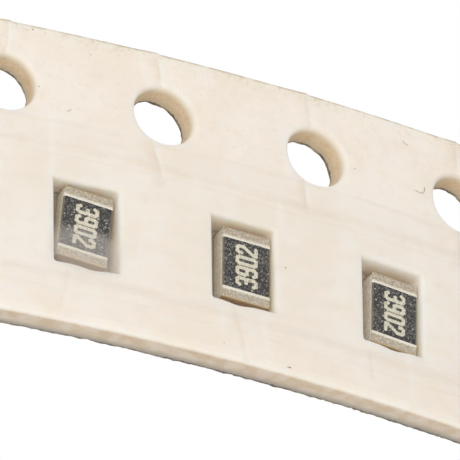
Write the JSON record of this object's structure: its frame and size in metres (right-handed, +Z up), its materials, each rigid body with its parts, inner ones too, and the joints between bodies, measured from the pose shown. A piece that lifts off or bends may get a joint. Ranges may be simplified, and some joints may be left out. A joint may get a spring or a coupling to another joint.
{
  "type": "strip of carrier tape with chip resistors",
  "caption": "Arched strip of punched paper carrier tape with sprocket holes along one edge; a chip resistor lies in each pocket between a bottom tape and a clear cover tape.",
  "frame": {"origin": "centre of the bounding box's bottom, on the surface that the two cut ends stand on", "axes": "+X along the strip, +Y across it towards the sprocket holes, +Z up out of the cover side"},
  "size_m": [0.0394, 0.008, 0.0045],
  "materials": {
    "paper": "matte",
    "bottom_film": "matte",
    "cover_film": "gloss",
    "ceramic": "matte",
    "coating": "satin",
    "tin": "satin"
  },
  "bodies": {
    "root": {"carrier_tape": "paper", "bottom_tape": "bottom_film", "cover_tape": "cover_film", "chip_01_substrate": "ceramic", "chip_01_coating": "coating", "chip_01_terminal_a": "tin", "chip_01_terminal_b": "tin", "chip_02_substrate": "ceramic", "chip_02_coating": "coating", "chip_02_terminal_a": "tin", "chip_02_terminal_b": "tin", "chip_03_substrate": "ceramic", "chip_03_coating": "coating", "chip_03_terminal_a": "tin", "chip_03_terminal_b": "tin", "chip_04_substrate": "ceramic", "chip_04_coating": "coating", "chip_04_terminal_a": "tin", "chip_04_terminal_b": "tin", "chip_05_substrate": "ceramic", "chip_05_coating": "coating", "chip_05_terminal_a": "tin", "chip_05_terminal_b": "tin", "chip_06_substrate": "ceramic", "chip_06_coating": "coating", "chip_06_terminal_a": "tin", "chip_06_terminal_b": "tin", "chip_07_substrate": "ceramic", "chip_07_coating": "coating", "chip_07_terminal_a": "tin", "chip_07_terminal_b": "tin", "chip_08_substrate": "ceramic", "chip_08_coating": "coating", "chip_08_terminal_a": "tin", "chip_08_terminal_b": "tin", "chip_09_substrate": "ceramic", "chip_09_coating": "coating", "chip_09_terminal_a": "tin", "chip_09_terminal_b": "tin", "chip_10_substrate": "ceramic", "chip_10_coating": "coating", "chip_10_terminal_a": "tin", "chip_10_terminal_b": "tin"}
  },
  "joints": []
}
